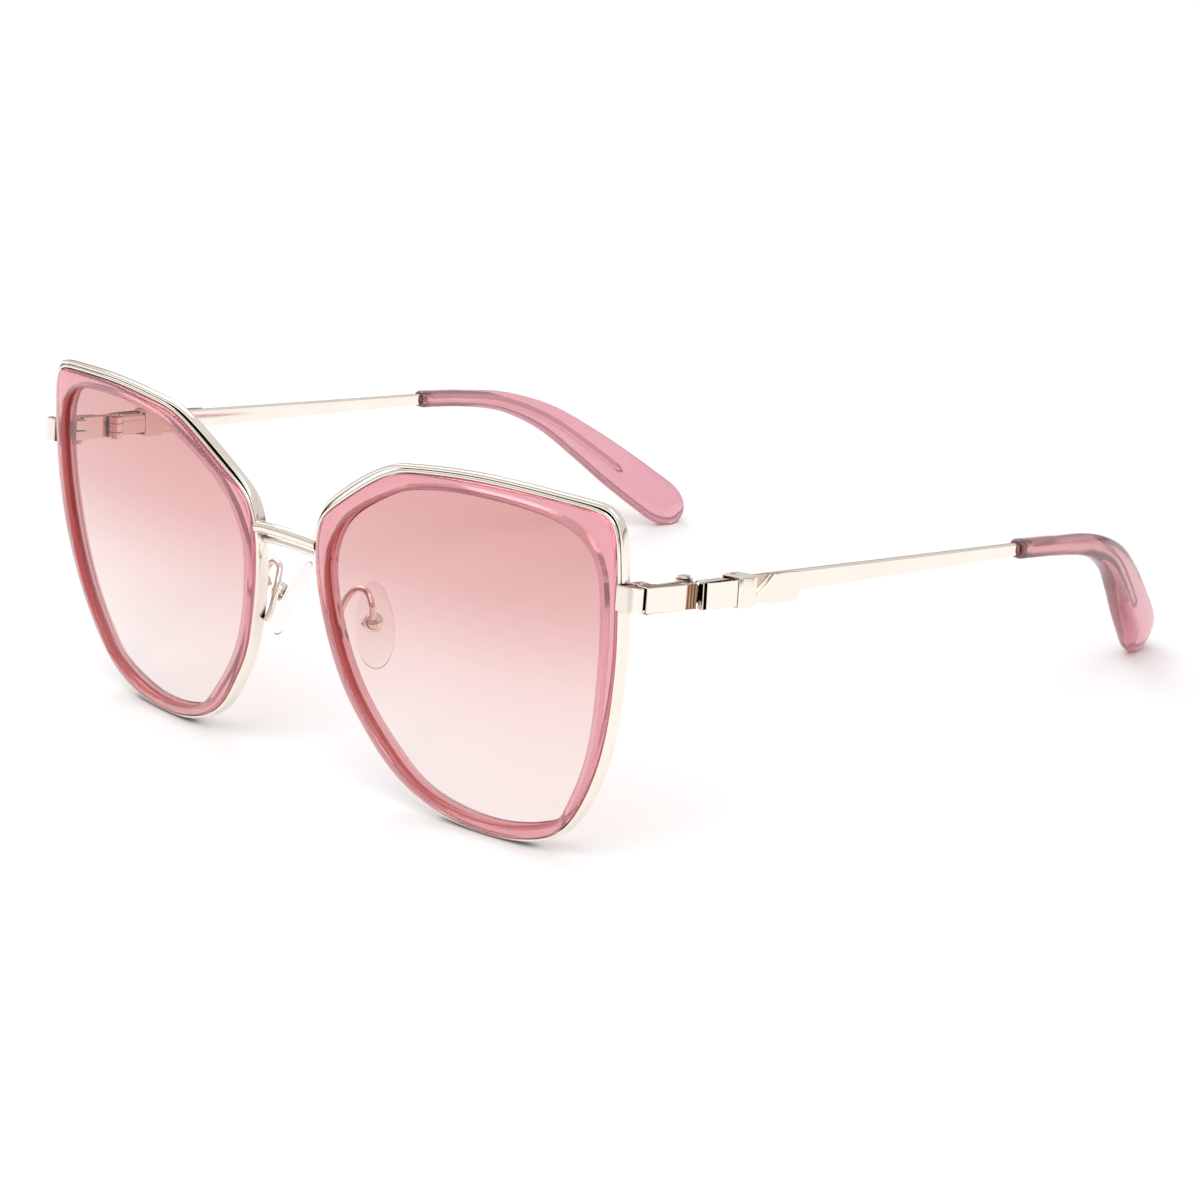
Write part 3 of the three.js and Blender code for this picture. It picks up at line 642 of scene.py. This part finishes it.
# ---- temples --------------------------------------------------------------------------------
TIP_KNOTS = [
    (1.8, TIP_START, -0.1), (1.5, 72.5, -0.5), (0.2, 81.5, -1.6), (-2.3, 89.3, -4.6),
    (-5.3, 95.8, -9.2), (-8.6, 102.2, -14.4), (-13.9, 112.4, -22.6),
]
CORE_SHARE = 0.83   # how far the core wire reaches into the tip
TIP_ROUND_FROM = 0.93
BAR_STATIONS = [   # along the bar, its lowest and highest edge
    (0.5, -1.2, 1.2), (0.9, -1.6, 1.6), (16, -1.55, 1.45), (40, -1.25, 1.1), (BAR_END, -1.0, 0.8),
]


def temple_frame(sign):
    place = Matrix.Translation((sign * HINGE.x, HINGE.y, HINGE.z)) @ Matrix.Rotation(TEMPLE_SLOPE, 4, "X")
    return WORN @ place


def between(stations, y):
    """Linear value of each station's numbers at y."""
    for (y0, *low), (y1, *high) in zip(stations, stations[1:]):
        if y <= y1:
            share = (y - y0) / (y1 - y0)
            return [a + (b - a) * share for a, b in zip(low, high)]
    return stations[-1][1:]


def temple_bar():
    """Flat tapering bar with rounded edges, then the thin core wire that runs inside the tip."""
    start, count, step, edge = BAR_STATIONS[0][0], 60, 0.1, 0.24
    places = [start + (BAR_END - start) * k / count for k in range(count + 1)]
    places += [SEAT_END, SEAT_END + step, TANG_START - step, TANG_START]
    rings = []
    for y in sorted(places):
        low, high = between(BAR_STATIONS, y)
        outer = BAR_OUT if SEAT_END < y < TANG_START else BAR_SEAT
        rings.append([Vector((x, y, z)) for x, z in rounded_box(BAR_IN, outer, low, high, edge, 4)])
    sides = len(rings[0])
    path = smooth_path(TIP_KNOTS, 12)
    core = path[2:round(len(path) * CORE_SHARE)]
    rings += along_path(core, lambda share: core_section(share, sides))[1:]
    return swept(rings)


def core_section(share, sides):
    """Section of the core wire, rounded off at its far end; it starts at the lower corner as the bar does."""
    half_thick, half_high, round_from, round_long = 0.45, 0.7, 0.97, 0.03
    first = 0.35 - math.pi / 2
    end = math.sqrt(max(1 - max((share - round_from) / round_long, 0) ** 2, 0.04))
    angles = [math.tau * k / sides + first for k in range(sides)]
    return [(half_thick * end * math.cos(a), half_high * end * math.sin(a)) for a in angles]


def tip_size(share):
    """Half thickness and half height of the tip: a narrow mouth, slow growth, then the round end."""
    grow = unit((share - 0.15) / 0.8)
    high = 1.45 + 2.5 * grow * grow * (3 - 2 * grow)
    thick = 1.6 + 0.35 * share
    past = max((share - TIP_ROUND_FROM) / (1 - TIP_ROUND_FROM), 0)
    end = math.sqrt(max(1 - past ** 2.4, 0))
    mouth = 0.86 + 0.14 * min(share / 0.008, 1)
    return thick * end * mouth, high * end * mouth


def tip_stations(last):
    """Shares of the tip's length that get a ring: one at each step, and more at the mouth and the end."""
    mouth, end, end_rings = [0, 0.002, 0.005, 0.009], 0.9995, 12
    steps = [s for s in mouth + [k / last for k in range(1, last)] if s < TIP_ROUND_FROM]
    turn = [math.sin(math.pi / 2 * k / end_rings) for k in range(end_rings)]
    return steps + [TIP_ROUND_FROM + (1 - TIP_ROUND_FROM) * s for s in turn] + [end]


def tip_recess(rim, forward):
    """Rings of the hollow in the tip's mouth, deepest first: each smaller than the rim, and further in."""
    centre = sum(rim, Vector()) / len(rim)
    sizes_and_depths = ((0.62, 0.9), (0.66, 0.12), (0.78, 0.0))
    return [[centre + (p - centre) * size + forward * depth for p in rim] for size, depth in sizes_and_depths]


def tip():
    """Acetate sleeve: opens with a recessed mouth, flattens and grows, and ends in a blunt round."""
    path = smooth_path(TIP_KNOTS, 14)
    last = len(path) - 1
    rings = []
    for share in tip_stations(last):
        at = share * last
        k = min(int(at), last - 1)
        centre = path[k].lerp(path[k + 1], at - k)
        tangent = (path[min(k + 2, last)] - path[max(k - 1, 0)]).normalized()
        across = (Vector((1, 0, 0)) - tangent * tangent.x).normalized()
        up = across.cross(tangent)
        thick, high = tip_size(share)
        rings.append([centre + across * u + up * v for u, v in oval(thick, high, 40, 2.7)])
    return swept(tip_recess(rings[0], (path[1] - path[0]).normalized()) + rings)


def ribbon_loop():
    """Ribbon folded over on itself: a lip and a crease in front, the open fold showing on top."""
    end = KEEPER_START - 0.05
    outer = [(RIBBON_IN, end), (RIBBON_IN, 0.35), (3.45, 0.35), (3.45, 0.5), (2.95, 0.58), (2.95, 0.95),
             (3.5, 1.05)]
    outer += bezier((3.5, 1.05), (4.0, 2.2), (3.9, 4.4), (4.05, end), 14)[1:]
    hollow = [(2.9, end - 0.4), (2.9, 1.3), (3.25, 1.25)]
    hollow += bezier((3.3, 1.3), (3.7, 2.5), (3.65, 4.2), (3.75, end - 0.4), 10)[1:]
    return tube_prism(outer, hollow, -1.95, 1.65)


def bezier(a, b, c, d, steps):
    """Cubic curve in the plane from a to d, pulled towards b and c."""
    points = []
    for k in range(steps + 1):
        t = k / steps
        weights = ((1 - t) ** 3, 3 * t * (1 - t) ** 2, 3 * t * t * (1 - t), t ** 3)
        points.append(tuple(sum(w * p[i] for w, p in zip(weights, (a, b, c, d))) for i in range(2)))
    return points


def tube_prism(outer, hollow, low, high):
    """Upright wall round a hollow that is open above and below."""
    outer, hollow = even(outer, 40), even(hollow, 40)
    rings = [[(x, y, low) for x, y in outer], [(x, y, high) for x, y in outer],
             [(x, y, high) for x, y in hollow], [(x, y, low) for x, y in hollow]]
    return swept(rings, closed_way=True)


def even(outline, count):
    """The same closed outline with count points, its own corners among them."""
    lengths = [math.dist(outline[k], outline[(k + 1) % len(outline)]) for k in range(len(outline))]
    parts = [1] * len(outline)
    while sum(parts) < count:
        longest = max(range(len(outline)), key=lambda k: lengths[k] / parts[k])
        parts[longest] += 1
    points = []
    for k, number in enumerate(parts):
        (x0, y0), (x1, y1) = outline[k], outline[(k + 1) % len(outline)]
        points += [(x0 + (x1 - x0) * j / number, y0 + (y1 - y0) * j / number) for j in range(number)]
    return points


def keeper():
    """Plain band round the gathered ribbon, raised a little along both of its edges."""
    outer = [(0.75, -2.2), (4.0, -2.35), (4.25, -2.25), (4.35, -2.0),
             (4.35, 1.75), (4.25, 2.0), (4.0, 2.1), (0.75, 1.95)]
    hole = [(1.1, -1.85), (3.8, -1.95), (3.88, -1.9), (3.9, -1.8),
            (3.9, 1.6), (3.88, 1.7), (3.8, 1.75), (1.1, 1.75)]
    hole_out = 3.9
    ridges, ridge_reach, deepest, steps = (0.2, 0.8), 0.09, 0.14, 16
    rings = []
    for k in range(steps + 1):
        share = k / steps
        y = KEEPER_START + KEEPER_LENGTH * share
        ridge = sum(math.exp(-((share - at) / ridge_reach) ** 2) for at in ridges)
        sink = deepest * (1 - ridge) * (0.4 + 0.6 * abs(2 * share - 1) ** 4)
        rings.append([(x - (sink if x > hole_out else 0), y, z * (1 - 0.3 * sink)) for x, z in outer])
    for share in (1, 0):
        rings.append([(x, KEEPER_START + KEEPER_LENGTH * share, z) for x, z in hole])
    return swept(rings, closed_way=True)


TAIL_START, TAIL_END = KEEPER_START + KEEPER_LENGTH + 0.05, 18.7
TAIL_COLUMNS, TAIL_ROWS = 60, 24
TAIL_AROUND = TAIL_ROWS + 3   # the points of a column, and two on the back
FOLD_STARTS, FOLD_COLUMNS, FOLD_WIDE = TAIL_COLUMNS // 3, 6, 0.35


def tail_crest(y):
    """How far the flat of the ribbon stands out."""
    hump = 0.55 * math.sin(math.pi * unit((y - 9.2) / 6.4))
    slope = 0.72 - 0.2 * unit((y - TAIL_START) / 8)
    return RIBBON_IN + slope + hump


def tail_column(k, fold):
    """Where column k of the tail lies and how far it is sunk; the fold crosses this height at y = fold.

    The first third lies before the fold, a few columns make the fold, and the rest lie behind it.
    """
    if k <= FOLD_STARTS:
        share = k / FOLD_STARTS
        return TAIL_START + (fold - TAIL_START) * share, 0.85 - 0.15 * share
    past = k - FOLD_STARTS
    if past <= FOLD_COLUMNS:
        share = past / FOLD_COLUMNS
        return fold + FOLD_WIDE * share, 0.7 * (0.5 + 0.5 * math.cos(math.pi * share))
    share = (past - FOLD_COLUMNS) / (TAIL_COLUMNS - FOLD_STARTS - FOLD_COLUMNS)
    return fold + FOLD_WIDE + (TAIL_END - fold - FOLD_WIDE) * share, 0.0


def ribbon_tail():
    """Cut end of the ribbon, gathered under the keeper so that a fold runs down across it."""
    low = [(TAIL_START, -1.9), (13, -2.4), (17.4, -2.7), (18.1, -2.6), (18.5, -2.25), (TAIL_END, -1.8)]
    high = [(TAIL_START, 1.8), (TAIL_END, 1.4)]
    level = 0.25   # below this share of the height the fold runs straight up
    rings = []
    for k in range(TAIL_COLUMNS + 1):
        face = []
        for j in range(TAIL_ROWS + 1):
            share = j / TAIL_ROWS
            fold = TAIL_START + 0.25 + 3.2 * max(share - level, 0) / (1 - level)
            y, dip = tail_column(k, fold)
            bottom, top = between(low, y)[0], between(high, y)[0]
            x = max(tail_crest(y) - dip, RIBBON_IN + 0.2)
            face.append(Vector((x, y, bottom + (top - bottom) * share)))
        back = [Vector((RIBBON_IN, p.y, p.z)) for p in (face[-1], face[0])]
        rings.append(face + back)
    return swept(rings)


def in_painted_fold_shade(number):
    """Whether a face of the tail is on its front, before the end of the fold; these faces get painted fold
    shade.
    """
    return (number // TAIL_AROUND < FOLD_STARTS + FOLD_COLUMNS - 1
            and number % TAIL_AROUND < TAIL_ROWS)


def build_temple(sign, side):
    place = temple_frame(sign)
    body = f"temple_{side}"
    metal = (GOLD, METAL_SLOT)
    add_piece(f"{side}_temple_bar", temple_bar(), place, sign, metal, body, f"temple_bar_{side}", sharp=40)
    add_piece(f"{side}_tip", tip(), place, sign, (TIP_ACETATE, ACETATE_SLOT), body,
              f"temple_tip_{side}", sharp=50)
    for name, shape, bevel in (("ribbon_loop", ribbon_loop(), 0.07), ("ribbon_keeper", keeper(), 0.1)):
        add_piece(f"{side}_{name}", shape, place, sign, metal, body, f"{name}_{side}", sharp=30, bevel=bevel)
    tail = add_piece(f"{side}_ribbon_tail", ribbon_tail(), place, sign, metal, body, f"ribbon_tail_{side}",
                     sharp=30)
    # the sunk front faces of the fold get painted shade
    accent(tail, FOLD_SHADE_GOLD, in_painted_fold_shade)


# ---- nose pads ------------------------------------------------------------------------------
def pad_frame(sign):
    """The pad's own frame: X out of the nose side, Z along the pad. Built for the left, mirrored later."""
    out = -PAD_FACE.normalized()
    up = (PAD_UP - out * PAD_UP.dot(out)).normalized()
    across = up.cross(out)
    turn = Matrix((out, across, up)).transposed().to_4x4()
    return WORN @ Matrix.Diagonal((sign, 1, 1, 1)) @ Matrix.Translation(PAD_CENTRE) @ turn


def nose_pad():
    """Egg-shaped pillow with a soft rim."""
    half_long, half_wide, half_thick = 6.5, 2.842, 1.05
    lean, narrowing = 0.12, 0.12
    layers, sides = 14, 48
    rings = []
    for k in range(1, layers):
        angle = math.pi * k / layers
        spread = math.sin(angle) ** 0.4
        x = -half_thick * math.cos(angle)
        ring = []
        for j in range(sides):
            a = math.tau * j / sides
            narrow = 1 - narrowing * math.sin(a)
            ring.append(Vector((x - lean * math.sin(a) ** 2 * spread,
                                half_wide * narrow * spread * math.cos(a),
                                half_long * spread * math.sin(a))))
        rings.append(ring)
    return swept(rings)


def pad_box():
    """Round cup that holds the pad's stem, with a domed back."""
    profile = [(1.45, 0.8), (1.4, 1.15), (1.5, 1.35), (2.1, 1.5), (2.6, 1.42), (3.05, 1.1), (3.32, 0.6),
               (3.4, 0.05), (2.6, 0.05), (2.6, 0.75)]
    sides = 28
    rings = [[Vector((x, r * math.cos(math.tau * j / sides), r * math.sin(math.tau * j / sides)))
              for j in range(sides)] for x, r in profile]
    return swept(rings, closed_way=True)


def pad_arm():
    """Bent wire from the eyewire to the pad box."""
    radius = 0.5
    path = smooth_path([(8.58, 2.2, -4.9), (8.2, 3.2, -3.2), (8.0, 4.4, 0.2), (9.1, 5.9, 2.5),
                        (11.4, 6.4, 2.7), (13.0, 6.1, 0.9), (12.65, 6.15, -1.15)], 10)
    return swept(along_path(path, lambda share: oval(radius, radius, 18), Vector((0, 1, 0))))


def build_pad(sign, side):
    metal = (GOLD, METAL_SLOT)
    place = pad_frame(sign)
    add_piece(f"{side}_pad_arm", pad_arm(), WORN, sign, metal, "front", f"pad_arm_{side}", sharp=60)
    add_piece(f"{side}_pad_box", pad_box(), place, 1, metal, "front", f"pad_box_{side}", sharp=40)
    add_piece(f"{side}_nose_pad", nose_pad(), place, 1, (SILICONE, PAD_SLOT), f"pad_{side}",
              f"nose_pad_{side}", sharp=70)


# ---- CAD pieces that stay -------------------------------------------------------------------
def finish_kept_nodes():
    """Hinges, rim locks and screws keep their CAD shape, with polished edges."""
    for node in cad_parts.values():
        if node.hide_render:
            continue
        node.data.materials.clear()
        node.data.materials.append(GOLD)
        weld = node.modifiers.new("one skin", "WELD")
        weld.merge_threshold = 1e-6
        soften(node, 0.06)


# ---- studio ---------------------------------------------------------------------------------
def floor():
    """The white surface that the glasses stand on, 8 m square."""
    half = 4.0
    corners = [(-half, -half, 0), (half, -half, 0), (half, half, 0), (-half, half, 0)]
    mesh = bpy.data.meshes.new("floor")
    mesh.from_pydata(corners, [], [(0, 1, 2, 3)])
    mesh.materials.append(studio_floor())
    ground = bpy.data.objects.new("floor", mesh)
    bpy.context.scene.collection.objects.link(ground)


def sky():
    """White studio with a darker band near the horizon, which draws the fine lines on the metal."""
    world = bpy.data.worlds.new("studio")
    bpy.context.scene.world = world
    world.use_nodes = True
    tree = world.node_tree
    place = tree.nodes.new("ShaderNodeTexCoord")
    split = tree.nodes.new("ShaderNodeSeparateXYZ")
    horizon = tree.nodes.new("ShaderNodeValToRGB")
    white, grey, brown = (1, 1, 1), (0.9, 0.88, 0.86), (0.26, 0.13, 0.075)
    set_stops(horizon.color_ramp.elements,
              [(0.0, white), (0.505, grey), (0.54, brown), (0.57, grey), (1.0, white)])
    up = tree.nodes.new("ShaderNodeMapRange")
    up.inputs["From Min"].default_value = -1
    tree.links.new(place.outputs["Generated"], split.inputs["Vector"])
    tree.links.new(split.outputs["Z"], up.inputs["Value"])
    tree.links.new(up.outputs["Result"], horizon.inputs["Fac"])
    tree.links.new(horizon.outputs["Color"], tree.nodes["Background"].inputs["Color"])
    tree.nodes["Background"].inputs["Strength"].default_value = 0.8


def softbox(name, position, side, power):
    """Square lamp, turned towards the glasses."""
    lamp = bpy.data.lights.new(name, "AREA")
    lamp.shape = "RECTANGLE"
    lamp.size, lamp.size_y = side, side
    lamp.energy = power
    holder = bpy.data.objects.new(name, lamp)
    holder.location = position
    holder.rotation_euler = (-Vector(position)).to_track_quat("-Z", "Y").to_euler()
    bpy.context.scene.collection.objects.link(holder)


def camera():
    """The view: from the wearer's left front, a little above."""
    optics = bpy.data.cameras.new("camera")
    optics.lens = CAMERA_LENS
    optics.sensor_width = 36
    optics.clip_end = 20
    eye = bpy.data.objects.new("camera", optics)
    turn = Euler([math.radians(a) for a in CAMERA_TURN]).to_matrix().to_4x4()
    place = WORN @ Matrix.Translation(CAMERA_AT) @ turn
    eye.matrix_world = Matrix.Scale(MM, 4) @ place @ Matrix.Scale(1 / MM, 4)
    bpy.context.scene.collection.objects.link(eye)
    bpy.context.scene.camera = eye


camera()
sky()
floor()
softbox("key softbox", (0.5, -0.5, 1.1), 0.9, 7)
softbox("fill softbox", (-0.9, 0.3, 0.9), 0.8, 3.5)
for sign, side in SIDES:
    build_eye(sign, side)
    build_endpiece(sign, side)
    build_temple(sign, side)
    build_pad(sign, side)
build_bridge()
finish_kept_nodes()
bpy.context.scene.view_settings.view_transform = "Standard"
